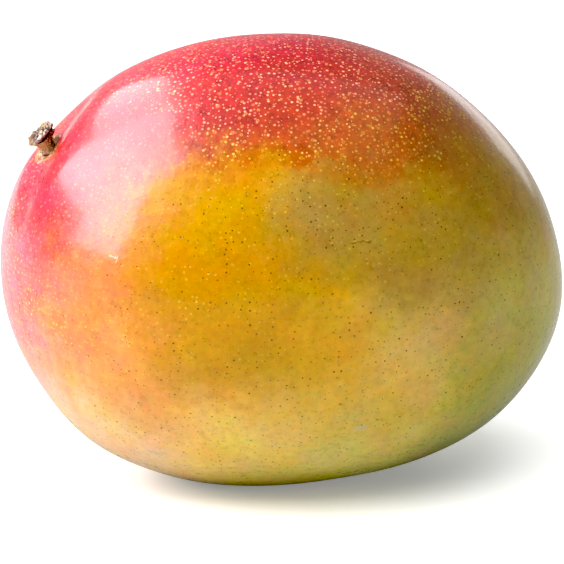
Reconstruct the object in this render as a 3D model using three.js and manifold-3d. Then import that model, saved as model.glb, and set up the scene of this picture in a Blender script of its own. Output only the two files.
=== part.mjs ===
// A whole mango, lying on its lower edge, with the short stub of its stalk left in the pit at the stem end.
//
// Millimetres, +Z up. X runs along the longest way across the fruit, with the stem end towards -X and
// the tip towards +X. The two broad cheeks face -Y and +Y. The origin is on the surface that the fruit
// rests on, under the middle of its box.

import * as THREE from 'three';
import { mergeVertices } from 'three/addons/utils/BufferGeometryUtils.js';
import Module from 'manifold-3d';

// ---------------------------------------------------------------- driving dimensions

// Half the fruit's size each way before it swells and dips, and the power of its curve (2 is an ellipse).
const HALF_LENGTH = 58.8;
const HALF_THICKNESS = 43.3;
const HALF_HEIGHT = 48.7;
const CURVE_POWER = 2.05;

// Where the skin swells (+) or dips (-) from that curve. The angle is measured up from +X in the plane
// between the cheeks, and the lean from that plane towards the -Y cheek. The spread is how far it reaches.
const SWELLS = {
  backSlope: { angle: 26, lean: 0, spread: 25, height: -1.25 },
  stemBasin: { angle: 144.6, lean: 0, spread: 8.3, height: -2.15 },
  stemPit: { angle: 152.5, lean: 5, spread: 3.4, height: -0.8 },
  stemLip: { angle: 151, lean: 8, spread: 6, height: -1.8 },
  stemValley: { angle: 157, lean: 12, spread: 5, height: -0.6 },
  stemFold: { angle: 164, lean: 13, spread: 4.5, height: -0.7 },
  bellyShoulder: { angle: 230, lean: 14, spread: 21, height: 1.75 },
  bellyDip: { angle: 290, lean: 14, spread: 18, height: -0.85 },
  tip: { angle: 340, lean: 0, spread: 33.5, height: 3.65 },
  nearCheek: { angle: 170, lean: 74, spread: 30, height: 1.4 },
  farCheek: { angle: 160, lean: -74, spread: 30, height: 0.8 },
};

// The ripe flesh gives a little where the fruit rests, which leaves a small flat spot.
const FLAT_DEPTH = 1.1;

// The stub of stalk: where it leaves the skin, and the way that it points, turned a little to the -Y side.
const STEM_ANGLE = 152;
const STEM_LEAN = 3;
const STUB_AXIS_ANGLE = 118;
const STUB_AXIS_LEAN = 12;
const STUB_ROOT_DEPTH = 2.2;
const STUB_NECK_RADIUS = 1.7;
const STUB_HEAD_RADIUS = 2.8;
const STUB_HEIGHT = 5.0;
const STUB_RECESS = 0.5;

// The gap left between the stub's root and the flesh around it.
const SOCKET_GAP = 0.3;

// How finely the two bodies are faceted. Rings crowd towards the stem by this share of their even spacing.
const FRUIT_MERIDIANS = 60;
const FRUIT_RINGS = 40;
const RING_CROWDING = 0.6;
const STUB_SIDES = 24;

// ---------------------------------------------------------------- helpers

const wasm = await Module();
wasm.setup();

// The unit direction at an angle up from +X and a lean towards -Y.
function directionAt(angle, lean) {
  const up = THREE.MathUtils.degToRad(angle);
  const side = THREE.MathUtils.degToRad(lean);
  return new THREE.Vector3(Math.cos(up) * Math.cos(side), -Math.sin(side), Math.sin(up) * Math.cos(side));
}

// The same surface with only its positions, and each shared vertex kept once.
function mergedShape(geometry) {
  const bare = geometry.clone();
  bare.deleteAttribute('normal');
  bare.deleteAttribute('uv');
  return mergeVertices(bare);
}

function solidFrom(geometry) {
  const shape = mergedShape(geometry);
  return new wasm.Manifold(new wasm.Mesh({
    numProp: 3,
    vertProperties: new Float32Array(shape.attributes.position.array),
    triVerts: new Uint32Array(shape.index.array),
  }));
}

function geometryFrom(solid) {
  const { vertProperties, triVerts } = solid.getMesh();
  const geometry = new THREE.BufferGeometry();
  geometry.setAttribute('position', new THREE.BufferAttribute(vertProperties, 3));
  geometry.setIndex(new THREE.BufferAttribute(triVerts, 1));
  geometry.computeVertexNormals();
  return geometry;
}

// Stands a shape that was made along +Y on the skin at the stem, along the stub's axis.
function placeAtStem(geometry) {
  const axis = directionAt(STUB_AXIS_ANGLE, STUB_AXIS_LEAN);
  const turn = new THREE.Quaternion().setFromUnitVectors(new THREE.Vector3(0, 1, 0), axis);
  const foot = skinPoint(directionAt(STEM_ANGLE, STEM_LEAN));
  return geometry.applyQuaternion(turn).translate(foot.x, foot.y, foot.z);
}

// ---------------------------------------------------------------- fruit

// How much one swell adds in a direction: all of its height at its middle, and less with the angle away.
function swellHeight(swell, direction) {
  const away = 1 - directionAt(swell.angle, swell.lean).dot(direction);
  const reach = 1 - Math.cos(THREE.MathUtils.degToRad(swell.spread));
  return swell.height * Math.exp(-away / reach);
}

// The point of the skin in a direction from the middle of the fruit.
function skinPoint(direction) {
  const sum = Math.abs(direction.x / HALF_LENGTH) ** CURVE_POWER
    + Math.abs(direction.y / HALF_THICKNESS) ** CURVE_POWER
    + Math.abs(direction.z / HALF_HEIGHT) ** CURVE_POWER;
  let radius = sum ** (-1 / CURVE_POWER);
  for (const swell of Object.values(SWELLS)) {
    radius += swellHeight(swell, direction);
  }
  return direction.clone().multiplyScalar(radius);
}

// A sphere whose pole is at the stem, with its rings crowded there, pushed out to the skin.
function skinGeometry() {
  const geometry = mergedShape(new THREE.SphereGeometry(1, FRUIT_MERIDIANS, FRUIT_RINGS));
  const pole = directionAt(STEM_ANGLE, STEM_LEAN);
  const turn = new THREE.Quaternion().setFromUnitVectors(new THREE.Vector3(0, 1, 0), pole);
  const positions = geometry.attributes.position;
  const direction = new THREE.Vector3();
  const polar = new THREE.Spherical();
  for (let i = 0; i < positions.count; i += 1) {
    polar.setFromVector3(direction.fromBufferAttribute(positions, i));
    polar.phi -= RING_CROWDING * Math.sin(polar.phi);
    direction.setFromSpherical(polar).applyQuaternion(turn);
    const point = skinPoint(direction.normalize());
    positions.setXYZ(i, point.x, point.y, point.z);
  }
  return geometry;
}

// The block of space below the surface that the fruit rests on.
function groundBlock(height) {
  const size = 4 * HALF_LENGTH;
  return new THREE.BoxGeometry(size, size, size).translate(0, 0, height - size / 2);
}

// The hole that the stub's root stands in.
function socketShape() {
  const depth = STUB_ROOT_DEPTH + SOCKET_GAP;
  const length = depth + STUB_HEIGHT;
  const radius = STUB_NECK_RADIUS + SOCKET_GAP;
  const hole = new THREE.CylinderGeometry(radius, radius, length, STUB_SIDES);
  return placeAtStem(hole.translate(0, length / 2 - depth, 0));
}

function fruitGeometry() {
  const skin = skinGeometry();
  skin.computeBoundingBox();
  const ground = skin.boundingBox.min.z + FLAT_DEPTH;
  const solid = solidFrom(skin)
    .subtract(solidFrom(groundBlock(ground)))
    .subtract(solidFrom(socketShape()));
  return geometryFrom(solid);
}

// ---------------------------------------------------------------- stub of stalk

// A straight root, a neck that flares to a thicker head, and the broken end, which is a little hollow.
function stubGeometry() {
  const rim = 0.8 * STUB_HEAD_RADIUS;
  const profile = [
    new THREE.Vector2(0, -STUB_ROOT_DEPTH),
    new THREE.Vector2(0.85 * STUB_NECK_RADIUS, -STUB_ROOT_DEPTH),
    new THREE.Vector2(STUB_NECK_RADIUS, 0),
    new THREE.Vector2(STUB_NECK_RADIUS, 0.35 * STUB_HEIGHT),
    new THREE.Vector2(0.95 * STUB_HEAD_RADIUS, 0.65 * STUB_HEIGHT),
    new THREE.Vector2(STUB_HEAD_RADIUS, 0.85 * STUB_HEIGHT),
    new THREE.Vector2(rim, STUB_HEIGHT),
    new THREE.Vector2(0, STUB_HEIGHT - STUB_RECESS),
  ];
  return placeAtStem(new THREE.LatheGeometry(profile, STUB_SIDES));
}

// ---------------------------------------------------------------- the mango

const skinMaterial = new THREE.MeshStandardMaterial({ color: 0xd69a3c, roughness: 0.35, metalness: 0 });
const stalkMaterial = new THREE.MeshStandardMaterial({ color: 0x7d6450, roughness: 0.9, metalness: 0 });

const fruit = new THREE.Mesh(fruitGeometry(), skinMaterial);
fruit.name = 'fruit';

const stemStub = new THREE.Mesh(stubGeometry(), stalkMaterial);
stemStub.name = 'stem_stub';

const mango = new THREE.Group();
mango.add(fruit, stemStub);

// Sets the mango on the origin: the flat spot at Z = 0, under the middle of its box.
const box = new THREE.Box3().setFromObject(mango, true);
const middle = box.getCenter(new THREE.Vector3());
mango.position.set(-middle.x, -middle.y, -box.min.z);
mango.updateMatrixWorld(true);

export default mango;
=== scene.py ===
# A whole ripe mango, lying on a pale floor under plain soft studio light.
#
# Blender works in metres. The fruit's own shape is worked out in millimetres round the middle of its
# body, with +X towards the tip, -Y towards the near cheek and +Z up, and is then set on the CAD frame.

import math

import bpy
import numpy as np
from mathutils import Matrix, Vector


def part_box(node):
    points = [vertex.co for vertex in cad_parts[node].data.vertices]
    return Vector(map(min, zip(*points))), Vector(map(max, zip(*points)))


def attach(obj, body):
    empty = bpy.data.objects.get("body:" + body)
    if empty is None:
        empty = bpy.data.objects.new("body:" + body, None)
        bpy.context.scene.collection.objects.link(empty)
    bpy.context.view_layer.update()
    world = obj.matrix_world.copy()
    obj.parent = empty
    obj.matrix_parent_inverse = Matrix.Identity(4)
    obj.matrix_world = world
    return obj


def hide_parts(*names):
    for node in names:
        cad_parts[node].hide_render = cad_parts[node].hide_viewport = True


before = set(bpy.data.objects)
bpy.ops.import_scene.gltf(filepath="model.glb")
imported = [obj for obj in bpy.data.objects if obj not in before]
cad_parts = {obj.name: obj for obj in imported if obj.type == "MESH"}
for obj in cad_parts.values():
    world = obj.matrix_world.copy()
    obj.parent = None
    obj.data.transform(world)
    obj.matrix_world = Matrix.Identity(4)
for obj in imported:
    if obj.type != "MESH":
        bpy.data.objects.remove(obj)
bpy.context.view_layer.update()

MM = 0.001
FULL_TURN = 2 * math.pi

# ------------------------------------------------------------------ shape of the fruit, in millimetres

# Half the body's size each way before it swells and dips, and the power of its curve (2 is an ellipse).
HALF_SIZE = np.array([58.8, 43.3, 48.7])
CURVE_POWER = 2.05

# Swells (+) and dips (-) of the skin: the angle up from +X in the plane between the cheeks, the lean
# towards the near cheek, how far it reaches in degrees, and its height.
SWELLS = {
    "back_slope": (26, 0, 25, -1.25),
    "stem_basin": (144.6, 0, 8.3, -2.15),
    "stem_pit": (152.5, 5, 3.4, -0.8),
    "stem_lip": (151, 8, 6, -1.8),
    "stem_valley": (157, 12, 5, -0.6),
    "stem_fold": (164, 13, 4.5, -0.7),
    "belly_shoulder": (230, 14, 21, 1.75),
    "belly_dip": (290, 14, 18, -0.85),
    "tip": (340, 0, 33.5, 3.65),
    "near_cheek": (170, 74, 30, 1.4),
    "far_cheek": (160, -74, 30, 0.8),
}

# The flat spot that the fruit rests on, and how softly the skin rounds into it.
FLAT_DEPTH = 1.1
FLAT_ROUNDING = 0.25

# Slow, faint waves all over the skin, which break up its reflections. The pitch is the least and the
# most radians that a wave goes through from the middle of the fruit to its skin.
WAVE_SEED = 11
WAVE_COUNT = 26
WAVE_HEIGHT = 0.055
WAVE_PITCH = (5.0, 15.0)

# The stalk's place in the stem pit and the corky ring of skin round it.
STEM_ANGLE = 152
STEM_LEAN = 3
RING_RADIUS = 3.0
RING_WIDTH = 0.6
RING_HEIGHT = 0.3

# Ripples in the ring's radius and height. Each ripple here and below is a sum of sines, given by their
# height, how many radians they go through for each unit along or round, and where they start.
RING_WOBBLE = ((0.35, 3, 0.6), (0.2, 7, 2.0))
RING_UNEVENNESS = ((0.35, 5, 1.0),)

# The creases that run out from the ring: they set in between two distances from the stalk, bunch
# together in places and twist a little on their way out.
CREASE_COUNT = 7
CREASE_DEPTH = 0.16
CREASE_START = (3.0, 4.5)
CREASE_REACH = 7.0
CREASE_BUNCHING = ((0.9, 2, 0.0),)
CREASE_TWIST = 0.25
CREASE_SHARPNESS = 3

# How far below the stalk's foot this relief begins to end, and how fast, so the far side has none.
STEM_RELIEF_DEPTH = 8.0
STEM_RELIEF_CUTOFF = 3.0

# How finely the fruit is meshed. Rings crowd towards the stem, where the finest shapes are.
FRUIT_MERIDIANS = 352
FRUIT_RINGS = 256
RING_CROWDING = 0.85


def direction_at(angle, lean=0.0):
    """The unit direction at an angle up from +X, in degrees, and a lean from there towards -Y."""
    up, side = math.radians(angle), math.radians(lean)
    return np.array([math.cos(up) * math.cos(side), -math.sin(side), math.sin(up) * math.cos(side)])


def smooth_step(values, low, high):
    """0 below low, 1 above high and a smooth rise between them."""
    share = np.clip((values - low) / (high - low), 0, 1)
    return share * share * (3 - 2 * share)


def hump(values, middle, width):
    """1 at the middle, and less with the distance from it, measured in widths."""
    return np.exp(-(((values - middle) / width) ** 2))


def ripple(values, sines):
    """A sum of sines, each with its height, its pitch and where it starts."""
    return sum(height * np.sin(pitch * values + start) for height, pitch, start in sines)


def waves(points, seed, count, height, pitch):
    """A sum of faint sine waves through space in random directions, always the same for one seed."""
    random = np.random.default_rng(seed)
    total = np.zeros(len(points))
    for _ in range(count):
        axis = random.normal(size=3)
        axis /= np.linalg.norm(axis)
        frequency = random.uniform(*pitch)
        total += height * np.sin(frequency * points @ axis + random.uniform(0, FULL_TURN))
    return total


def fade_sharpness(spread):
    """How fast a swell or a tint fades as directions turn away from it, from its reach in degrees."""
    return 1 / (1 - math.cos(math.radians(spread)))


def body_radius(directions):
    """How far the fruit's plain body reaches in each direction from its middle."""
    radius = (np.abs(directions / HALF_SIZE) ** CURVE_POWER).sum(1) ** (-1 / CURVE_POWER)
    for angle, lean, spread, height in SWELLS.values():
        away = 1 - directions @ direction_at(angle, lean)
        radius += height * np.exp(-away * fade_sharpness(spread))
    return radius


# The stub's axis, and two ways across it: up the slope of the skin, and towards the near cheek.
STUB_AXIS_ANGLE = 118
STUB_AXIS_LEAN = 12
STUB_AXIS = direction_at(STUB_AXIS_ANGLE, STUB_AXIS_LEAN)
UPHILL = np.cross([0, 1, 0], STUB_AXIS)
UPHILL /= np.linalg.norm(UPHILL)
NEARWARD = np.cross(UPHILL, STUB_AXIS)

STEM_DIRECTION = direction_at(STEM_ANGLE, STEM_LEAN)
STEM_FOOT = STEM_DIRECTION * body_radius(STEM_DIRECTION[None])[0]


def turned_from_pole(pole):
    """A 3x3 matrix whose columns are two ways across the pole and the pole itself."""
    across = np.cross([0, 1, 0], pole)
    across /= np.linalg.norm(across)
    return np.stack([across, np.cross(pole, across), pole], axis=1)


def angles_round(sides):
    """Evenly spaced angles once round, in radians."""
    return np.arange(sides) * FULL_TURN / sides


def grid_faces(rings, sides):
    """Quads between rings of vertices, each ring closed on itself, and fans to the two end points."""
    first, last = rings * sides, rings * sides + 1
    base = (rings - 1) * sides
    faces = []
    for side in range(sides):
        after = (side + 1) % sides
        faces.append((first, side, after))
        for ring in range(rings - 1):
            low, high = ring * sides, (ring + 1) * sides
            faces.append((low + side, high + side, high + after, low + after))
        faces.append((last, base + after, base + side))
    return faces


def mesh_object(name, points, faces, material):
    """A smooth-shaded object with its vertices given in millimetres."""
    mesh = bpy.data.meshes.new(name)
    mesh.from_pydata((points * MM).tolist(), [], faces)
    mesh.materials.append(material)
    mesh.shade_smooth()
    obj = bpy.data.objects.new(name, mesh)
    bpy.context.scene.collection.objects.link(obj)
    return obj


# ------------------------------------------------------------------ fruit


def fruit_directions():
    """The directions of the fruit's vertices: rings that crowd towards the stem, and the two poles."""
    polar = np.linspace(0, math.pi, FRUIT_RINGS + 2)[1:-1]
    polar = polar - RING_CROWDING * np.sin(polar)
    polar, around = np.meshgrid(polar, angles_round(FRUIT_MERIDIANS), indexing="ij")
    polar, around = polar.ravel(), around.ravel()
    local = np.stack([np.sin(polar) * np.cos(around), np.sin(polar) * np.sin(around), np.cos(polar)], 1)
    local = np.vstack([local, [[0, 0, 1], [0, 0, -1]]])
    return local @ turned_from_pole(STEM_DIRECTION).T


def stem_relief(directions, radius):
    """The corky ring round the stub and the faint creases that run out from the pit."""
    offset = directions * radius[:, None] - STEM_FOOT
    uphill, nearward = offset @ UPHILL, offset @ NEARWARD
    around = np.arctan2(nearward, uphill)
    below_foot = -(offset @ STEM_DIRECTION)
    reach = np.hypot(uphill, nearward)
    reach += STEM_RELIEF_CUTOFF * np.maximum(0, below_foot - STEM_RELIEF_DEPTH)
    ring = RING_HEIGHT * hump(reach, RING_RADIUS + ripple(around, RING_WOBBLE), RING_WIDTH)
    ring *= 1 + ripple(around, RING_UNEVENNESS)
    fade = smooth_step(reach, *CREASE_START) * hump(reach, 0, CREASE_REACH)
    turned = CREASE_COUNT * around + ripple(around, CREASE_BUNCHING) + CREASE_TWIST * reach
    crease = np.maximum(0, np.cos(turned)) ** CREASE_SHARPNESS
    return ring - CREASE_DEPTH * fade * crease


def fruit_points():
    """Every vertex of the fruit round its middle, with the flat spot at the bottom pressed in."""
    directions = fruit_directions()
    radius = body_radius(directions)
    ground = (directions[:, 2] * radius).min() + FLAT_DEPTH
    radius += waves(directions, WAVE_SEED, WAVE_COUNT, WAVE_HEIGHT, WAVE_PITCH)
    radius += stem_relief(directions, radius)
    points = directions * radius[:, None]
    height = points[:, 2] - ground
    points[:, 2] = ground + (height + np.sqrt(height**2 + FLAT_ROUNDING**2)) / 2
    return points


def middle_of_body(points):
    """Where the middle of the body stands in the CAD frame, in millimetres."""
    low, high = [np.array(corner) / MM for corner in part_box("fruit")]
    middle = (low + high) / 2 - (points.min(0) + points.max(0)) / 2
    middle[2] = low[2] - points[:, 2].min()
    return middle


# ------------------------------------------------------------------ stub of stalk, in millimetres

STUB_SIDES = 168
STUB_RINGS = 132

# The stub's outline as height along its axis and radius: from its root up the slim neck that flares to
# the groove under the rim, darkened with painted shade, over the rim itself, and in to the middle of the
# broken face.
GROOVE_HEIGHT = 3.8
STUB_OUTLINE = [
    (-2.2, 1.3),
    (-1.0, 1.5),
    (0.0, 1.45),
    (0.8, 1.4),
    (GROOVE_HEIGHT - 1.8, 1.65),
    (GROOVE_HEIGHT - 1.0, 2.1),
    (GROOVE_HEIGHT - 0.3, 2.5),
    (GROOVE_HEIGHT, 2.45),
    (GROOVE_HEIGHT + 0.25, 2.7),
    (GROOVE_HEIGHT + 0.65, 3.0),
    (GROOVE_HEIGHT + 1.0, 2.9),
    (GROOVE_HEIGHT + 1.2, 2.5),
    (GROOVE_HEIGHT + 1.15, 2.2),
    (GROOVE_HEIGHT + 0.9, 1.9),
    (GROOVE_HEIGHT + 0.8, 1.5),
    (GROOVE_HEIGHT + 0.85, 1.0),
    (GROOVE_HEIGHT + 0.95, 0.5),
    (GROOVE_HEIGHT + 0.95, 0.0),
]

# Where the head sets in and where the broken face does, as heights above the groove, and the radii
# between which the face gives way to the rim. The face climbs uphill by its tilt.
HEAD_LEVEL = (-0.6, 0.4)
FACE_LEVEL = (0.7, 0.8)
FACE_EDGE = (2.2, 2.5)
FACE_TILT = 0.34

# The head is oval, with a second lobe at its uphill end: where that is round the axis and how far it
# spreads, in radians, how far it bulges and over what height, and how far the rim drops there, which
# sets in between two radii.
HEAD_OVAL = 0.07
LOBE_AROUND = 0.05
LOBE_SPREAD = 0.55
LOBE_BULGE = 0.85
LOBE_HEIGHT = 0.7
LOBE_DROP = 0.6
LOBE_DROP_EDGE = (2.6, 3.3)

# The groove under the rim is deeper beside the lobe.
GROOVE_WIDTH = 0.22
GROOVE_DEPTH = 0.25
GROOVE_LOBE_DEPTH = 0.2
GROOVE_RIPPLE = ((0.15, 3, 0.4),)

# Ridges along the neck, which set in between two heights, and the wavy height of the rim.
NECK_RIDGES = ((0.09, 9, 0.5), (0.06, 17, 1.9))
RIDGES_START = (0.0, 1.0)
RIM_RIPPLE = ((0.16, 2, 1.0), (0.1, 5, 0.3), (0.06, 11, 0.0))

# A split, darkened with painted shade, and a ridge beside it, both up the broken face: how far each lies
# towards the near cheek, how it bends, its width, and its depth or height. The split sets in between two
# places uphill.
SPLIT_NEARWARD = -0.25
SPLIT_BEND = ((0.3, 1.3, 0.0),)
SPLIT_WIDTH = 0.2
SPLIT_DEPTH = 0.5
SPLIT_START = (-1.6, -0.8)
RIDGE_NEARWARD = 0.75
RIDGE_BEND = ((-0.2, 1.9, 1.0),)
RIDGE_WIDTH = 0.3
RIDGE_HEIGHT = 0.3

# The gap round the core, which is stronger on one side.
GAP_RADIUS = 1.45
GAP_RIPPLE = ((0.2, 2, 0.8),)
GAP_WIDTH = 0.2
GAP_DEPTH = 0.45
GAP_EVEN_SHARE = 0.75
GAP_UNEVENNESS = ((0.25, 1, 2.5),)

# A notch in the rim: where it is round the axis and its width, in radians, the heights above the groove
# and the radii between which it sets in, its depth, and how strongly painted shade darkens it beside the
# other cracks.
NOTCH_AROUND = 0.62
NOTCH_WIDTH = 0.14
NOTCH_LEVEL = (0.0, 0.8)
NOTCH_EDGE = (1.2, 2.2)
NOTCH_DEPTH = 0.5
NOTCH_SHADE_SHARE = 0.8

# Pits in the broken face: how far uphill and towards the near cheek each lies, its size and its depth.
FACE_PITS = [
    (-0.4, -0.8, 0.34, 0.6),
    (1.3, -0.6, 0.38, 0.7),
    (-0.5, 0.35, 0.42, 0.45),
    (-2.3, 0.1, 0.42, 0.8),
    (0.6, 1.4, 0.25, 0.35),
]

# Fine roughness all over the stub, as waves with a pitch in radians for each millimetre.
STUB_WAVE_SEED = 5
STUB_WAVE_COUNT = 40
STUB_WAVE_HEIGHT = 0.015
STUB_WAVE_PITCH = (2.0, 9.0)


def stub_grid():
    """Height, radius and angle of the stub's plain vertices, in rings evenly spaced along its outline."""
    outline = np.array(STUB_OUTLINE)
    run = np.concatenate([[0], np.cumsum(np.hypot(*np.diff(outline, axis=0).T))])
    at = np.linspace(0, run[-1], STUB_RINGS + 2)[1:-1]
    height = np.repeat(np.interp(at, run, outline[:, 0]), STUB_SIDES)
    radius = np.repeat(np.interp(at, run, outline[:, 1]), STUB_SIDES)
    return height, radius, np.tile(angles_round(STUB_SIDES), STUB_RINGS)


def face_pits(uphill, nearward):
    """How strongly the pits show in the broken face, from 0 to 1, and how deep they are."""
    shown = np.zeros_like(uphill)
    depth = np.zeros_like(uphill)
    for pit_uphill, pit_nearward, size, pit_depth in FACE_PITS:
        pit = hump(np.hypot(uphill - pit_uphill, nearward - pit_nearward), 0, size)
        shown = np.maximum(shown, pit)
        depth += pit_depth * pit
    return shown, depth


def stub_mesh_points():
    """The stub's vertices round the middle of the fruit, and how much painted shade each gets from the
    cracks it lies in, from 0 to 1.
    """
    height, radius, around = stub_grid()
    above_groove = height - GROOVE_HEIGHT
    on_head = smooth_step(above_groove, *HEAD_LEVEL)
    on_face = smooth_step(above_groove, *FACE_LEVEL) * (1 - smooth_step(radius, *FACE_EDGE))
    on_side = 1 - on_face

    # The side: an oval head with its lobe, the ridges of the neck, and the groove.
    lobe = hump((around - LOBE_AROUND + math.pi) % FULL_TURN - math.pi, 0, LOBE_SPREAD)
    groove = hump(above_groove, ripple(around, GROOVE_RIPPLE), GROOVE_WIDTH) * on_side
    radius *= 1 + HEAD_OVAL * on_head * np.cos(2 * around)
    radius += LOBE_BULGE * lobe * hump(above_groove, 0, LOBE_HEIGHT) * on_side
    radius += ripple(around, NECK_RIDGES) * on_side * smooth_step(height, *RIDGES_START)
    radius -= (GROOVE_DEPTH + GROOVE_LOBE_DEPTH * lobe) * groove

    # The broken face: a split, a ridge, the gap round the core, a notch and pits.
    uphill, nearward = radius * np.cos(around), radius * np.sin(around)
    split = hump(nearward, SPLIT_NEARWARD + ripple(uphill, SPLIT_BEND), SPLIT_WIDTH)
    split *= smooth_step(uphill, *SPLIT_START) * on_face
    ridge = hump(nearward, RIDGE_NEARWARD + ripple(uphill, RIDGE_BEND), RIDGE_WIDTH) * on_face
    gap = hump(radius, GAP_RADIUS + ripple(around, GAP_RIPPLE), GAP_WIDTH) * on_face
    gap *= GAP_EVEN_SHARE + ripple(around, GAP_UNEVENNESS)
    notch = hump(around, NOTCH_AROUND, NOTCH_WIDTH) * smooth_step(above_groove, *NOTCH_LEVEL)
    pits, pit_depth = [share * on_head for share in face_pits(uphill, nearward)]

    height += ripple(around, RIM_RIPPLE) * on_head
    height += RIDGE_HEIGHT * ridge - SPLIT_DEPTH * split - GAP_DEPTH * gap - pit_depth
    height -= NOTCH_DEPTH * notch * smooth_step(radius, *NOTCH_EDGE)
    height -= LOBE_DROP * lobe * smooth_step(radius, *LOBE_DROP_EDGE) * on_head
    height += FACE_TILT * uphill * on_head

    local = np.stack([uphill, nearward, height], 1)
    outward = np.stack([np.cos(around), np.sin(around), np.ones_like(around)], 1)
    rough = waves(local, STUB_WAVE_SEED, STUB_WAVE_COUNT, STUB_WAVE_HEIGHT, STUB_WAVE_PITCH)
    local += rough[:, None] * outward
    local = np.vstack([local, [[0, 0, STUB_OUTLINE[0][0]], [0, 0, STUB_OUTLINE[-1][0]]]])
    points = STEM_FOOT + local @ np.stack([UPHILL, NEARWARD, STUB_AXIS])
    # Painted shade: the split, the gap, the pits, the groove and the notch are darkened by this share, in
    # place of the shade that falls in them.
    crevice_shade = np.clip(np.maximum.reduce([split, gap, pits, groove, NOTCH_SHADE_SHARE * notch]), 0, 1)
    return points, np.append(crevice_shade, [0, 0])


# ------------------------------------------------------------------ building materials

WHITE = (1.0, 1.0, 1.0)
BLACK = (0.0, 0.0, 0.0)


def colour(code):
    """A linear colour from an sRGB hex code such as "e04a52"."""
    parts = [int(code[i : i + 2], 16) / 255 for i in (0, 2, 4)]
    return tuple(p / 12.92 if p <= 0.04045 else ((p + 0.055) / 1.055) ** 2.4 for p in parts)


class Graph:
    """A material's node tree. Most methods add a node and return its output socket."""

    def __init__(self, name):
        self.material = bpy.data.materials.new(name)
        self.material.use_nodes = True
        self.nodes = self.material.node_tree.nodes
        self.links = self.material.node_tree.links
        self.nodes.clear()

    def node(self, kind, **settings):
        made = self.nodes.new(kind)
        for name, value in settings.items():
            setattr(made, name, value)
        return made

    def put(self, value, socket):
        """Links an output to a socket, or sets the socket to a plain value."""
        if isinstance(value, bpy.types.NodeSocket):
            self.links.new(value, socket)
        elif value is not None:
            socket.default_value = value if np.isscalar(value) else tuple(map(float, value))

    def math(self, operation, a, b=None, c=None):
        made = self.node("ShaderNodeMath", operation=operation)
        for value, socket in zip((a, b, c), made.inputs):
            self.put(value, socket)
        return made.outputs[0]

    def vector(self, operation, a, b=None, c=None, scale=None):
        made = self.node("ShaderNodeVectorMath", operation=operation)
        for value, socket in zip((a, b, c), made.inputs):
            self.put(value, socket)
        if scale is not None:
            self.put(scale, made.inputs["Scale"])
        in_value = operation in ("DOT_PRODUCT", "LENGTH", "DISTANCE")
        return made.outputs["Value" if in_value else "Vector"]

    def mix(self, share, a, b):
        """Colour a where share is 0 and b where it is 1."""
        made = self.node("ShaderNodeMix", data_type="RGBA")
        self.put(share, made.inputs[0])
        for value, socket in ((a, made.inputs[6]), (b, made.inputs[7])):
            self.put((*value, 1.0) if isinstance(value, tuple) else value, socket)
        return made.outputs[2]

    def step(self, value, low, high, start=0.0, end=1.0):
        """start below low, end above high and a smooth change between them. low may be above high."""
        if np.isscalar(low) and low > high:
            low, high, start, end = high, low, end, start
        made = self.node("ShaderNodeMapRange", interpolation_type="SMOOTHSTEP")
        for given, name in ((value, "Value"), (low, "From Min"), (high, "From Max")):
            self.put(given, made.inputs[name])
        self.put(start, made.inputs["To Min"])
        self.put(end, made.inputs["To Max"])
        return made.outputs[0]

    def separate(self, vector):
        """The three parts of a colour or vector."""
        made = self.node("ShaderNodeSeparateColor")
        self.put(vector, made.inputs[0])
        return made.outputs

    def moved(self, place, offset):
        """A place moved so far that patterns with different offsets have nothing in common."""
        return self.vector("ADD", place, (offset, 2 * offset, 3 * offset))

    def noise(self, place, size, detail=2.0, roughness=0.5, offset=0.0):
        """Noise round 0 with lumps of about the given size in millimetres: its value and its vector."""
        made = self.node("ShaderNodeTexNoise", noise_dimensions="3D")
        self.put(self.moved(place, offset), made.inputs["Vector"])
        self.put(1 / size, made.inputs["Scale"])
        self.put(detail, made.inputs["Detail"])
        self.put(roughness, made.inputs["Roughness"])
        value = self.math("SUBTRACT", made.outputs["Fac"], 0.5)
        vector = self.vector("SUBTRACT", made.outputs["Color"], (0.5, 0.5, 0.5))
        return value, vector

    def cells(self, place, spacing, offset, randomness=0.9):
        """Points scattered over a round body: the distance along the body's surface to the nearest point,
        in millimetres, and three random numbers of that point's own."""
        made = self.node("ShaderNodeTexVoronoi", voronoi_dimensions="3D", feature="F1")
        moved = self.moved(place, offset)
        self.put(moved, made.inputs["Vector"])
        self.put(1 / spacing, made.inputs["Scale"])
        self.put(randomness, made.inputs["Randomness"])
        heading = self.vector("NORMALIZE", place)
        to_point = self.vector("SUBTRACT", made.outputs["Position"], moved)
        depth = self.vector("DOT_PRODUCT", to_point, heading)
        sunk = self.vector("SCALE", heading, scale=depth)
        distance = self.vector("DISTANCE", to_point, sunk)
        return distance, self.separate(made.outputs["Color"])

    def place(self, middle):
        """Object coordinates in millimetres from a point."""
        coordinates = self.node("ShaderNodeTexCoord").outputs["Object"]
        scaled = self.vector("SCALE", coordinates, scale=1 / MM)
        return self.vector("SUBTRACT", scaled, middle)

    def bump(self, relief):
        """The normal of a surface with relief too fine for the mesh, in millimetres."""
        made = self.node("ShaderNodeBump")
        made.inputs["Strength"].default_value = 1.0
        made.inputs["Distance"].default_value = MM
        self.put(relief, made.inputs["Height"])
        return made.outputs[0]

    def finish(self, sockets):
        """The material, whose shader has each named socket linked or set to a plain value."""
        shader = self.node("ShaderNodeBsdfPrincipled")
        for name, value in sockets.items():
            self.put(value, shader.inputs[name])
        output = self.node("ShaderNodeOutputMaterial")
        self.put(shader.outputs[0], output.inputs["Surface"])
        return self.material


# ------------------------------------------------------------------ skin

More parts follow.
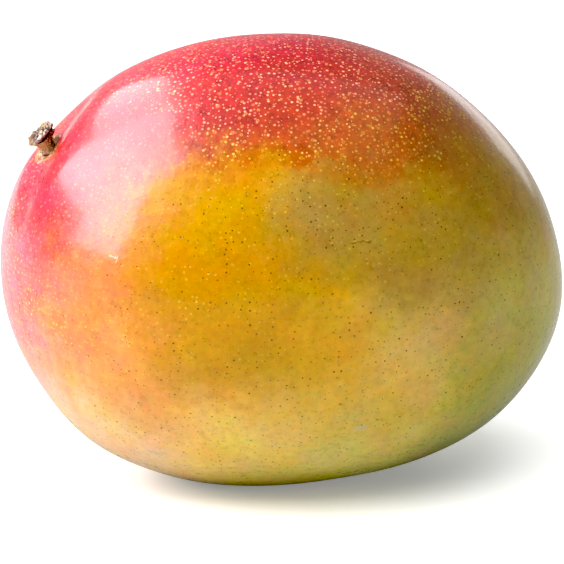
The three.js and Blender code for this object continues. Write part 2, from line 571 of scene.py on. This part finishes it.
# The skin's colours: where each is purest (angle and lean, as for the swells), how far it reaches in
# degrees, and the colour. Between them they blend.
TINTS = {
    # near cheek and the edges that border it, from the top round to the stem end, the belly and the tip
    "crimson_crown": (88, 12, 18, "9c0e22"),
    "crimson_brow": (112, 16, 18, "c02034"),
    "crimson_nape": (135, 20, 16, "b42438"),
    "rose_shoulder": (158, 26, 15, "ac1c30"),
    "rose_end": (182, 14, 16, "e4606a"),
    "scarlet_brow": (104, 33, 12, "981e04"),
    "scarlet_front": (84, 30, 12, "b43802"),
    "brick_back": (62, 12, 14, "9c2c1a"),
    "russet_front": (62, 36, 12, "b85a0c"),
    "russet_back": (42, 16, 13, "985e24"),
    "orange_band": (98, 47, 9, "d69c1c"),
    "coral_band": (148, 38, 9, "e67066"),
    "gold_front": (125, 56, 12, "c48e00"),
    "amber_cheek": (160, 60, 13, "c48400"),
    "amber_low": (200, 70, 12, "d59400"),
    "gold_low": (254, 79, 13, "c09400"),
    "olive_front": (60, 60, 13, "b09040"),
    "olive_gold": (60, 80, 13, "d89c1c"),
    "mustard_low": (320, 74, 14, "f4b81c"),
    "olive_side": (22, 44, 14, "be9638"),
    "olive_back": (24, 18, 13, "b48c28"),
    "green_side": (2, 28, 14, "d0bc60"),
    "green_tip": (336, 26, 16, "b6b03c"),
    "green_belly": (318, 10, 16, "7c8638"),
    "apricot_side": (176, 42, 12, "e27e4a"),
    "apricot_low": (200, 44, 15, "e89e4a"),
    "straw_belly": (262, 52, 18, "fcca60"),
    "khaki_low": (342, 52, 13, "f8cc66"),
    "lime_low": (312, 48, 13, "e6c058"),
    "lime_belly": (290, 34, 18, "dcd66c"),
    "lime_under": (270, 0, 18, "dcd470"),
    "peach_under": (222, 14, 18, "f4c890"),
    # far cheek
    "crimson_far": (110, -30, 26, "d8364a"),
    "rose_far": (160, -28, 22, "e64c56"),
    "orange_far": (105, -62, 16, "e08a22"),
    "amber_far": (190, -62, 20, "e6a018"),
    "olive_far": (40, -50, 22, "aa8c28"),
    "green_far": (345, -45, 26, "8e9038"),
    "straw_far": (262, -48, 26, "cda844"),
    "brick_far": (50, -18, 18, "ac4030"),
}

# How strongly the tints wander from their places: the size of each kind of lump in millimetres, and
# how far it moves them, as a share of the fruit's radius.
WANDER = ((24.0, 0.22), (7.0, 0.24), (2.2, 0.2))
WANDER_OFFSET = 37.0

# How much green a tint has beside its red where the skin counts as yellow and as red, and how ragged
# the border between them is, in lumps of what size.
YELLOW_GREENNESS = 0.5
RED_GREENNESS = 0.05
BORDER_RAGGEDNESS = 0.35
BORDER_SIZE = 2.6

# How much the red, green and blue of the skin vary over its blotches, and how strong its fine grain is.
# Here and below, a pair that ends in YELLOW_TO_RED holds for yellow skin and for red skin.
BLOTCH_SIZE = 9.0
BLOTCH_VARIATION = (0.45, 0.55, 2.0)
GRAIN_SIZE = 1.7
GRAIN_YELLOW_TO_RED = (0.55, 1.5)

# Lenticels, larger ringed lenticels and dark pinpoints: the spacing of each kind, and its smallest and
# largest radius. All are scattered more thickly in some places, in patches of the crowd's size.
LENTICELS = (1.2, 0.17, 0.42)
RINGED_LENTICELS = (2.9, 0.38, 0.58)
PINPOINTS = (1.55, 0.1, 0.28)
CROWD_SIZE = 5.0

# A dot shows from its rim inwards and is at its strongest at this share of its radius.
DOT_EDGE = (1.0, 0.35)

# How strongly each kind shows. Lenticels are left out where their own random number is below a limit,
# and a ringed lenticel has a dark eye within a share of its radius.
LENTICEL_LIMIT_YELLOW_TO_RED = (0.6, -0.1)
LENTICEL_YELLOW_TO_RED = (0.45, 0.95)
LENTICEL_IN_SPARSE_PATCH = 0.5
LENTICEL_ON_SHOULDER = 0.3
RING_STRENGTH = 0.65
RING_YELLOW_TO_RED = (0.35, 1.0)
RING_ON_SHOULDER = 0.2
RING_EYE_EDGE = (0.45, 0.2)
PINPOINT_YELLOW_TO_RED = (1.0, 0.15)
PINPOINT_IN_SPARSE_PATCH = 0.3

# Where the lenticels are faintest: an angle and a lean, and how well a direction has to be aligned with
# that one, as a cosine, for them to begin to fade and to be at their faintest.
FAINT_SHOULDER = (148, 34)
FAINT_ALIGNMENT = (0.84, 0.96)

# The colours of the dots and the cork, and the painted shade at the edge of the stub's socket.
LENTICEL_ON_YELLOW = "f2cc50"
LENTICEL_ON_RED = "ffb48c"
RING_ON_YELLOW = "f0b030"
RING_ON_RED = "f4a25c"
RING_EYE = "5a2a14"
PINPOINT_BROWN = "2c2006"
CORK_DARK = "a86a40"
CORK_PALE = "d39a6c"
CORK_SPECK = "3a2016"
SOCKET_PAINTED_SHADE = "2a160e"

# Marks in the skin: the angle and lean of each one's middle, the turn of its long side up from level,
# its length and width in millimetres, and its colour.
MARKS = {
    "scar": (43, 58.5, 0, 5.5, 0.5, "5a4a1c"),
    "scuff": (305, 49.7, 20, 3.2, 1.6, "d9c9a4"),
    "scratch_top": (160, 45, -5, 2.0, 0.3, "ffe2c4"),
    "scratch_side": (160, 46.2, 80, 1.4, 0.3, "ffe2c4"),
}
MARK_RAGGEDNESS = 1.6
MARK_LUMP_SIZE = 1.2
MARK_STRENGTH = 0.6

# How far the cork reaches past its ring, with an edge that is ragged by this much, the size of its
# lumps and its specks, and the radii between which painted shade darkens the skin into the stub's socket.
CORK_EDGE = (1.5, 0.1)
CORK_RAGGEDNESS = 2.4
CORK_LUMP_SIZE = 1.6
CORK_SPECK_SIZE = 0.55
SOCKET_SHADE_EDGE = (2.1, 1.7)

# Relief too fine for the mesh, in millimetres: the size and height of the peel's pores and of its
# slower dimples, and the height of the lenticels, the pinpoints and the cork.
PEEL_SIZE = 1.8
PEEL_HEIGHT = 0.05
DIMPLE_SIZE = 6.0
DIMPLE_HEIGHT = 0.22
LENTICEL_HEIGHT = 0.015
PINPOINT_HEIGHT = -0.03
CORK_HEIGHT = 0.3

# The skin's roughness, and what its blotches, grain, lenticels and cork add to it.
SKIN_ROUGHNESS = 0.3
BLOTCH_ROUGHNESS = 0.12
GRAIN_ROUGHNESS = 0.2
LENTICEL_ROUGHNESS = 0.08
CORK_ROUGHNESS = 0.35

# The waxy skin's gloss, and the flesh that glows a little through it.
SKIN_SHADER = {
    "Specular IOR Level": 0.35,
    "Coat Weight": 0.5,
    "Coat Roughness": 0.14,
    "Coat IOR": 1.45,
    "Subsurface Weight": 0.1,
    "Subsurface Radius": (1.0, 0.5, 0.15),
    "Subsurface Scale": 2 * MM,
}


def skin_tint(graph, place):
    """The skin's main colours, blended by direction from the middle, with an uneven, blotchy wander."""
    heading = graph.vector("NORMALIZE", place)
    for number, (size, amount) in enumerate(WANDER):
        drift = graph.noise(place, size, detail=3.0, offset=WANDER_OFFSET * number)[1]
        heading = graph.vector("MULTIPLY_ADD", drift, (amount,) * 3, heading)
    heading = graph.vector("NORMALIZE", heading)
    total, blend = 0.0, BLACK
    for angle, lean, spread, code in TINTS.values():
        sharpness = fade_sharpness(spread)
        aligned = graph.vector("DOT_PRODUCT", heading, direction_at(angle, lean))
        weight = graph.math("EXPONENT", graph.math("MULTIPLY_ADD", aligned, sharpness, -sharpness))
        total = graph.math("ADD", weight, total)
        blend = graph.vector("MULTIPLY_ADD", weight, colour(code), blend)
    return graph.vector("DIVIDE", blend, total)


def skin_redness(graph, place, tint):
    """How red the skin is, from 0 where it is yellow or green to 1, with a ragged border between."""
    parts = graph.separate(tint)
    greenness = graph.math("DIVIDE", parts[1], parts[0])
    ragged = graph.noise(place, BORDER_SIZE, detail=3.0, roughness=0.6, offset=95.0)[0]
    greenness = graph.math("MULTIPLY_ADD", ragged, BORDER_RAGGEDNESS, greenness)
    return graph.step(greenness, YELLOW_GREENNESS, RED_GREENNESS)


def mottled(graph, tint, redness, hue, grain):
    """The tint made lighter, darker, yellower and greyer from place to place, with a fine grain."""
    shade = graph.vector("MULTIPLY_ADD", hue, BLOTCH_VARIATION, WHITE)
    grain_depth = graph.step(redness, 0.0, 1.0, *GRAIN_YELLOW_TO_RED)
    grain_shade = graph.math("MULTIPLY_ADD", grain, grain_depth, 1.0)
    surface = graph.vector("SCALE", graph.vector("MULTIPLY", tint, shade), scale=grain_shade)
    return graph.vector("MAXIMUM", surface, BLACK)


def dots(graph, place, kind, offset):
    """Soft round dots of one kind scattered through the skin.

    Gives how strongly the nearest dot shows, how far out from its middle the place is, as a share of
    its radius, and three random numbers of the dot's own.
    """
    spacing, smallest, largest = kind
    distance, random = graph.cells(place, spacing, offset)
    size = graph.math("MULTIPLY_ADD", random[0], largest - smallest, smallest)
    out = graph.math("DIVIDE", distance, size)
    return graph.step(out, *DOT_EDGE), out, random


def lenticels(graph, place, redness, crowd, shoulder):
    """Pale dots, dense where the skin is red, and few and faint where it is yellow.

    Gives how strongly any dot shows, and how strongly those do that are kept.
    """
    fine, _, random = dots(graph, place, LENTICELS, offset=210.0)
    limit = graph.step(redness, 0.0, 0.5, *LENTICEL_LIMIT_YELLOW_TO_RED)
    pale = graph.math("MULTIPLY", fine, graph.step(random[2], limit, 0.9))
    dense = graph.step(crowd, -0.15, 0.05, LENTICEL_IN_SPARSE_PATCH, 1.0)
    pale = graph.math("MULTIPLY", pale, dense)
    clear = graph.step(shoulder, *FAINT_ALIGNMENT, 1.0, LENTICEL_ON_SHOULDER)
    return fine, graph.math("MULTIPLY", pale, clear)


def ringed_lenticels(graph, place, redness, shoulder):
    """How strongly ringed lenticels show, and how far the place is from the middle of the nearest."""
    ring, out, random = dots(graph, place, RINGED_LENTICELS, offset=240.0)
    ring = graph.math("MULTIPLY", ring, graph.step(random[1], 0.4, 0.6, 0.0, RING_STRENGTH))
    ring = graph.math("MULTIPLY", ring, graph.step(redness, 0.0, 0.4, *RING_YELLOW_TO_RED))
    clear = graph.step(shoulder, *FAINT_ALIGNMENT, 1.0, RING_ON_SHOULDER)
    return graph.math("MULTIPLY", ring, clear), out


def pinpoints(graph, place, crowd):
    """How strongly the dark pinpoints show, before they fade where the skin is red."""
    pin, _, random = dots(graph, place, PINPOINTS, offset=270.0)
    pin = graph.math("MULTIPLY", pin, graph.step(random[2], 0.05, 0.95))
    return graph.math("MULTIPLY", pin, graph.step(crowd, -0.15, 0.08, PINPOINT_IN_SPARSE_PATCH, 1.0))


def mark(graph, place, angle, lean, turn, length, width):
    """How strongly a long, ragged mark shows: its middle and the turn of its long side in degrees."""
    heading = direction_at(angle, lean)
    spot = heading * body_radius(heading[None])[0]
    level = np.cross([0, 0, 1], heading)
    level /= np.linalg.norm(level)
    steep = np.cross(heading, level)
    along = level * math.cos(math.radians(turn)) + steep * math.sin(math.radians(turn))
    ragged = graph.noise(place, MARK_LUMP_SIZE, detail=3.0, offset=400.0)[1]
    ragged_place = graph.vector("MULTIPLY_ADD", ragged, (MARK_RAGGEDNESS,) * 3, place)
    offset = graph.vector("SUBTRACT", ragged_place, spot)
    far_along = graph.math("ABSOLUTE", graph.vector("DOT_PRODUCT", offset, along))
    far_across = graph.math("ABSOLUTE", graph.vector("DOT_PRODUCT", offset, np.cross(heading, along)))
    inside = graph.step(far_along, length / 2, length / 3)
    distance = graph.vector("LENGTH", offset)
    inside = graph.math("MULTIPLY", inside, graph.step(distance, 2 * length, length))
    beside = graph.step(far_across, width / 2, width / 6, 0.0, MARK_STRENGTH)
    return graph.math("MULTIPLY", inside, beside)


def add_cork(graph, place, surface):
    """The corky ring in the stem pit, with dark specks, and painted shade at the edge of the stub's socket.

    Gives the new surface, how strongly the cork shows, and the noise of its specks.
    """
    reach = graph.vector("DISTANCE", place, tuple(STEM_FOOT))
    uneven = graph.noise(place, CORK_LUMP_SIZE, detail=3.0, offset=300.0)[0]
    ragged = graph.math("MULTIPLY_ADD", uneven, CORK_RAGGEDNESS, reach)
    cork = graph.step(ragged, *[RING_RADIUS + edge for edge in CORK_EDGE])
    cork_colour = graph.mix(graph.step(uneven, -0.12, 0.12), colour(CORK_DARK), colour(CORK_PALE))
    surface = graph.mix(cork, surface, cork_colour)
    speck = graph.noise(place, CORK_SPECK_SIZE, detail=1.0, offset=330.0)[0]
    speck_share = graph.math("MULTIPLY", graph.step(speck, 0.1, 0.16), cork)
    surface = graph.mix(speck_share, surface, colour(CORK_SPECK))
    # Painted shade: the skin darkens to near black where it meets the stub, in place of the shade in the
    # gap round it.
    surface = graph.mix(graph.step(reach, *SOCKET_SHADE_EDGE), surface, colour(SOCKET_PAINTED_SHADE))
    return surface, cork, speck


def skin_relief(graph, place, fine, pin, cork, speck):
    """The height of the relief too fine for the mesh."""
    peel = graph.noise(place, PEEL_SIZE, detail=4.0, offset=360.0)[0]
    relief = graph.math("MULTIPLY", peel, PEEL_HEIGHT)
    dimples = graph.noise(place, DIMPLE_SIZE, offset=380.0)[0]
    relief = graph.math("MULTIPLY_ADD", dimples, DIMPLE_HEIGHT, relief)
    relief = graph.math("MULTIPLY_ADD", fine, LENTICEL_HEIGHT, relief)
    relief = graph.math("MULTIPLY_ADD", pin, PINPOINT_HEIGHT, relief)
    return graph.math("MULTIPLY_ADD", graph.math("MULTIPLY", speck, cork), CORK_HEIGHT, relief)


def skin_material(middle):
    graph = Graph("mango_skin")
    place = graph.place(middle)
    tint = skin_tint(graph, place)
    redness = skin_redness(graph, place, tint)
    blotch, hue = graph.noise(place, BLOTCH_SIZE, detail=4.0, roughness=0.65, offset=120.0)
    grain = graph.noise(place, GRAIN_SIZE, detail=4.0, roughness=0.65, offset=160.0)[0]
    surface = mottled(graph, tint, redness, hue, grain)

    crowd = graph.noise(place, CROWD_SIZE, offset=190.0)[0]
    heading = graph.vector("NORMALIZE", place)
    shoulder = graph.vector("DOT_PRODUCT", heading, direction_at(*FAINT_SHOULDER))
    fine, pale = lenticels(graph, place, redness, crowd, shoulder)
    pale_share = graph.math("MULTIPLY", pale, graph.step(redness, 0.0, 0.9, *LENTICEL_YELLOW_TO_RED))
    rosy = graph.step(redness, 0.65, 1.0)
    pale_colour = graph.mix(rosy, colour(LENTICEL_ON_YELLOW), colour(LENTICEL_ON_RED))
    surface = graph.mix(pale_share, surface, pale_colour)

    ring, ring_out = ringed_lenticels(graph, place, redness, shoulder)
    ring_colour = graph.mix(rosy, colour(RING_ON_YELLOW), colour(RING_ON_RED))
    surface = graph.mix(ring, surface, ring_colour)
    eye = graph.math("MULTIPLY", ring, graph.step(ring_out, *RING_EYE_EDGE))
    surface = graph.mix(eye, surface, colour(RING_EYE))

    pin = pinpoints(graph, place, crowd)
    pin_share = graph.math("MULTIPLY", pin, graph.step(redness, 0.1, 0.8, *PINPOINT_YELLOW_TO_RED))
    surface = graph.mix(pin_share, surface, colour(PINPOINT_BROWN))

    for *shape, code in MARKS.values():
        surface = graph.mix(mark(graph, place, *shape), surface, colour(code))
    surface, cork, speck = add_cork(graph, place, surface)
    normal = graph.bump(skin_relief(graph, place, fine, pin, cork, speck))

    roughness = graph.math("MULTIPLY_ADD", blotch, BLOTCH_ROUGHNESS, SKIN_ROUGHNESS)
    roughness = graph.math("MULTIPLY_ADD", grain, GRAIN_ROUGHNESS, roughness)
    roughness = graph.math("MULTIPLY_ADD", pale, LENTICEL_ROUGHNESS, roughness)
    roughness = graph.math("MULTIPLY_ADD", cork, CORK_ROUGHNESS, roughness)
    return graph.finish({"Base Color": surface, "Roughness": roughness, "Normal": normal, **SKIN_SHADER})


# ------------------------------------------------------------------ stalk

STALK_COLOURS = {
    "foot_dark": "a87a5c",
    "foot_pale": "dcb494",
    "neck_ochre": "c8b688",
    # painted shade on the neck's uphill side, which faces away from the window
    "neck_shaded_uphill": "54423a",
    "neck_pale": "dccda4",
    "neck_dark": "2a1a14",
    "bark_dark": "5c423e",
    "bark_pale": "a8948c",
    "bark_downhill": "8a6444",
    "face_far": "b89868",
    "face_near": "d6c6b8",
    "face_dark": "6c4e42",
    # painted near-black shade in the cracks, grooves and pits
    "crevice_shade": "140b08",
}

# Heights above the stalk's foot between which the foot gives way to the neck, the neck to the bark of
# the head, and the bark to the broken face, with borders that are ragged by this much.
NECK_START = (0.4, 1.4)
BARK_START = (GROOVE_HEIGHT - 0.2, GROOVE_HEIGHT + 0.3)
FACE_START = (GROOVE_HEIGHT + 0.7, GROOVE_HEIGHT + 1.0)
STALK_RAGGEDNESS = 1.6
STALK_LUMP_SIZE = 1.1

# The fine grain of the stalk: its size and height in millimetres, and what it adds to the roughness.
STALK_GRAIN_SIZE = 0.35
STALK_GRAIN_HEIGHT = 0.16
STALK_GRAIN_ROUGHNESS = 0.3
STALK_ROUGHNESS = 0.78


def stalk_material(middle):
    """A peach foot, an ochre neck with painted shade on its uphill side, away from the window, mauve bark
    round the head, a pale broken face that is ochre on its far side, and painted near-black shade in the
    cracks."""
    graph = Graph("mango_stalk")
    shades = {name: colour(code) for name, code in STALK_COLOURS.items()}
    place = graph.place(tuple(np.array(middle) + STEM_FOOT))
    height = graph.vector("DOT_PRODUCT", place, STUB_AXIS)
    uphill = graph.vector("DOT_PRODUCT", place, UPHILL)
    nearward = graph.vector("DOT_PRODUCT", place, NEARWARD)
    uneven = graph.noise(place, STALK_LUMP_SIZE, detail=3.0, roughness=0.6)[0]
    fine = graph.noise(place, STALK_GRAIN_SIZE, detail=3.0, roughness=0.6, offset=20.0)[0]
    level = graph.math("MULTIPLY_ADD", uneven, STALK_RAGGEDNESS, height)

    foot = graph.mix(graph.step(fine, -0.1, 0.1), shades["foot_dark"], shades["foot_pale"])
    # Painted shade: the neck darkens uphill, on the side turned away from the window.
    neck = graph.mix(graph.step(uphill, 0.2, 1.6), shades["neck_ochre"], shades["neck_shaded_uphill"])
    neck = graph.mix(graph.step(fine, 0.02, 0.14), neck, shades["neck_pale"])
    neck = graph.mix(graph.step(fine, -0.08, -0.15), neck, shades["neck_dark"])
    bark = graph.mix(graph.step(fine, -0.1, 0.12), shades["bark_dark"], shades["bark_pale"])
    bark = graph.mix(graph.step(uphill, -1.2, -2.4), bark, shades["bark_downhill"])
    face = graph.mix(graph.step(nearward, -1.0, 0.6), shades["face_far"], shades["face_near"])
    face = graph.mix(graph.step(fine, 0.08, -0.1), face, shades["face_dark"])
    surface = graph.mix(graph.step(level, *NECK_START), foot, neck)
    surface = graph.mix(graph.step(level, *BARK_START), surface, bark)
    surface = graph.mix(graph.step(level, *FACE_START), surface, face)
    # Painted shade: near black in the cracks, the groove, the gap round the core, the pits and the notch,
    # from the mesh's shade attribute.
    crevice_shade = graph.node("ShaderNodeAttribute", attribute_name="crevice_shade").outputs["Fac"]
    surface = graph.mix(graph.step(crevice_shade, 0.25, 0.8), surface, shades["crevice_shade"])

    normal = graph.bump(graph.math("MULTIPLY", fine, STALK_GRAIN_HEIGHT))
    roughness = graph.math("MULTIPLY_ADD", fine, STALK_GRAIN_ROUGHNESS, STALK_ROUGHNESS)
    return graph.finish({"Base Color": surface, "Roughness": roughness, "Normal": normal})


# ------------------------------------------------------------------ studio, in metres

# The floor's colour to the camera and in the light it throws back, and its glow to the camera alone.
FLOOR_SIZE = 8.0
FLOOR_SEEN = (0.95, 0.95, 0.95)
FLOOR_BOUNCE = (0.52, 0.52, 0.52)
FLOOR_GLOW = 0.25

# The strength of the surroundings as the camera sees them, and as they light the mango and the floor.
SURROUNDINGS_SEEN = 1.0
ROOM_LIGHT = 0.4
BLACK_LEVEL = 0.035

# The softboxes: how far each stands from the middle of the fruit, the way it faces, its width and
# height, its radiance, where 1 is paper white, and what it falls on.
SOFTBOXES = {
    "window": ((-0.7, -0.12, 0.8), (1, 0, 0), (0.8, 1.06), 10.0, "mango"),
    "window_sill": ((-0.7, -0.32, 0.2), (1, 0, 0), (0.3, 0.14), 10.0, "mango"),
    "window_far": ((-0.7, 0.79, 0.98), (1, 0, 0), (1.02, 0.7), 6.2, "mango"),
    "ceiling": ((0.15, 0.1, 1.1), (0, 0, -1), (1.2, 1.2), 0.7, "mango"),
    "back_wall": ((0.55, 1.2, 0.1), (0, -1, 0), (0.6, 0.35), 1.5, "mango"),
    "floor_wash": ((0.0, -0.6, 1.1), (0, 0.5, -1), (1.1, 0.9), 5.6, "floor"),
    "floor_side": ((-1.0, 0.1, 0.5), (1, 0, -0.4), (0.8, 0.6), 9.0, "floor"),
    "floor_behind": ((-0.3, 0.62, 0.25), (0, 0, -1), (0.45, 0.8), 2.2, "floor"),
}

# The camera faces the near cheek and looks down on it. Its aim is a little off the fruit's middle.
CAMERA_ELEVATION = 18.0
CAMERA_DISTANCE = 0.882
CAMERA_RIGHT = 1.35 * MM
CAMERA_UP = -4.6 * MM
CAMERA_LENS = 263.2
CAMERA_SENSOR = 36.0
CAMERA_CLIP_START = 0.01


def floor_material():
    """White to the camera, and greyer in the light it throws back."""
    graph = Graph("pale_floor")
    direct = graph.node("ShaderNodeLightPath").outputs["Is Camera Ray"]
    return graph.finish({
        "Base Color": graph.mix(direct, FLOOR_BOUNCE, FLOOR_SEEN),
        "Emission Color": (*WHITE, 1.0),
        "Emission Strength": graph.math("MULTIPLY", direct, FLOOR_GLOW),
        "Roughness": 0.7,
        "Specular IOR Level": 0.2,
    })


def make_floor():
    half = FLOOR_SIZE / 2 / MM
    corners = np.array([[-half, -half, 0], [half, -half, 0], [half, half, 0], [-half, half, 0]])
    floor = mesh_object("floor", corners, [(0, 1, 2, 3)], floor_material())
    return floor


def make_softbox(name, aim, offset, facing, size, brightness, lit):
    """A rectangular softbox that stands off from the fruit's middle and lights one collection alone."""
    data = bpy.data.lights.new(name, "AREA")
    data.shape = "RECTANGLE"
    data.size, data.size_y = size
    data.energy = brightness * math.pi * size[0] * size[1]
    light = bpy.data.objects.new(name, data)
    light.location = aim + Vector(offset)
    light.rotation_euler = (-Vector(facing)).to_track_quat("Z", "Y").to_euler()
    light.visible_camera = False
    light.light_linking.receiver_collection = lit
    bpy.context.scene.collection.objects.link(light)


def make_world():
    """White all round for the camera, and a dim even light for everything else."""
    world = bpy.data.worlds.new("studio")
    world.use_nodes = True
    nodes, links = world.node_tree.nodes, world.node_tree.links
    nodes.clear()
    path = nodes.new("ShaderNodeLightPath")
    mix = nodes.new("ShaderNodeMixShader")
    links.new(path.outputs["Is Camera Ray"], mix.inputs[0])
    for socket, strength in ((mix.inputs[1], ROOM_LIGHT), (mix.inputs[2], SURROUNDINGS_SEEN)):
        background = nodes.new("ShaderNodeBackground")
        background.inputs["Color"].default_value = (*WHITE, 1.0)
        background.inputs["Strength"].default_value = strength
        links.new(background.outputs[0], socket)
    output = nodes.new("ShaderNodeOutputWorld")
    links.new(mix.outputs[0], output.inputs["Surface"])
    bpy.context.scene.world = world


def make_camera(aim):
    elevation = math.radians(CAMERA_ELEVATION)
    back = Vector((0, -math.cos(elevation), math.sin(elevation)))
    up = Vector((0, math.sin(elevation), math.cos(elevation)))
    data = bpy.data.cameras.new("camera")
    data.lens = CAMERA_LENS
    data.sensor_width = CAMERA_SENSOR
    data.clip_start = CAMERA_CLIP_START
    camera = bpy.data.objects.new("camera", data)
    camera.location = aim + back * CAMERA_DISTANCE + up * CAMERA_UP + Vector((CAMERA_RIGHT, 0, 0))
    camera.rotation_euler = (math.pi / 2 - elevation, 0, 0)
    bpy.context.scene.collection.objects.link(camera)
    bpy.context.scene.camera = camera


def lit_collection(name, objects):
    """A collection of objects for a softbox to fall on."""
    lit = bpy.data.collections.new(name)
    for obj in objects:
        lit.objects.link(obj)
    return lit


def grade_picture():
    """Plain colours, with the faint haze of the room's reflections taken out of the blacks."""
    settings = bpy.context.scene.view_settings
    settings.view_transform = "Standard"
    settings.look = "None"
    settings.use_curve_mapping = True
    settings.curve_mapping.black_level = (BLACK_LEVEL,) * 3
    settings.curve_mapping.update()


def make_studio(aim, mango):
    make_world()
    lit = {"mango": lit_collection("mango", mango), "floor": lit_collection("floor", [make_floor()])}
    for name, (*softbox, falls_on) in SOFTBOXES.items():
        make_softbox(name, aim, *softbox, lit[falls_on])
    make_camera(aim)
    grade_picture()


# ------------------------------------------------------------------ the mango


def make_fruit(points, middle):
    faces = grid_faces(FRUIT_RINGS, FRUIT_MERIDIANS)
    fruit = mesh_object("fruit_skin", points + middle, faces, skin_material(tuple(middle)))
    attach(fruit, "root")
    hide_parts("fruit")
    return fruit


def make_stub(middle):
    points, crevice_shade = stub_mesh_points()
    faces = grid_faces(STUB_RINGS, STUB_SIDES)
    stub = mesh_object("stalk_stub", points + middle, faces, stalk_material(tuple(middle)))
    # The painted shade each vertex gets in the cracks, for the stalk's material.
    attribute = stub.data.attributes.new("crevice_shade", "FLOAT", "POINT")
    attribute.data.foreach_set("value", crevice_shade)
    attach(stub, "root")
    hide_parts("stem_stub")
    return stub


points = fruit_points()
middle = middle_of_body(points)
mango = [make_fruit(points, middle), make_stub(middle)]
make_studio(Vector(middle * MM), mango)
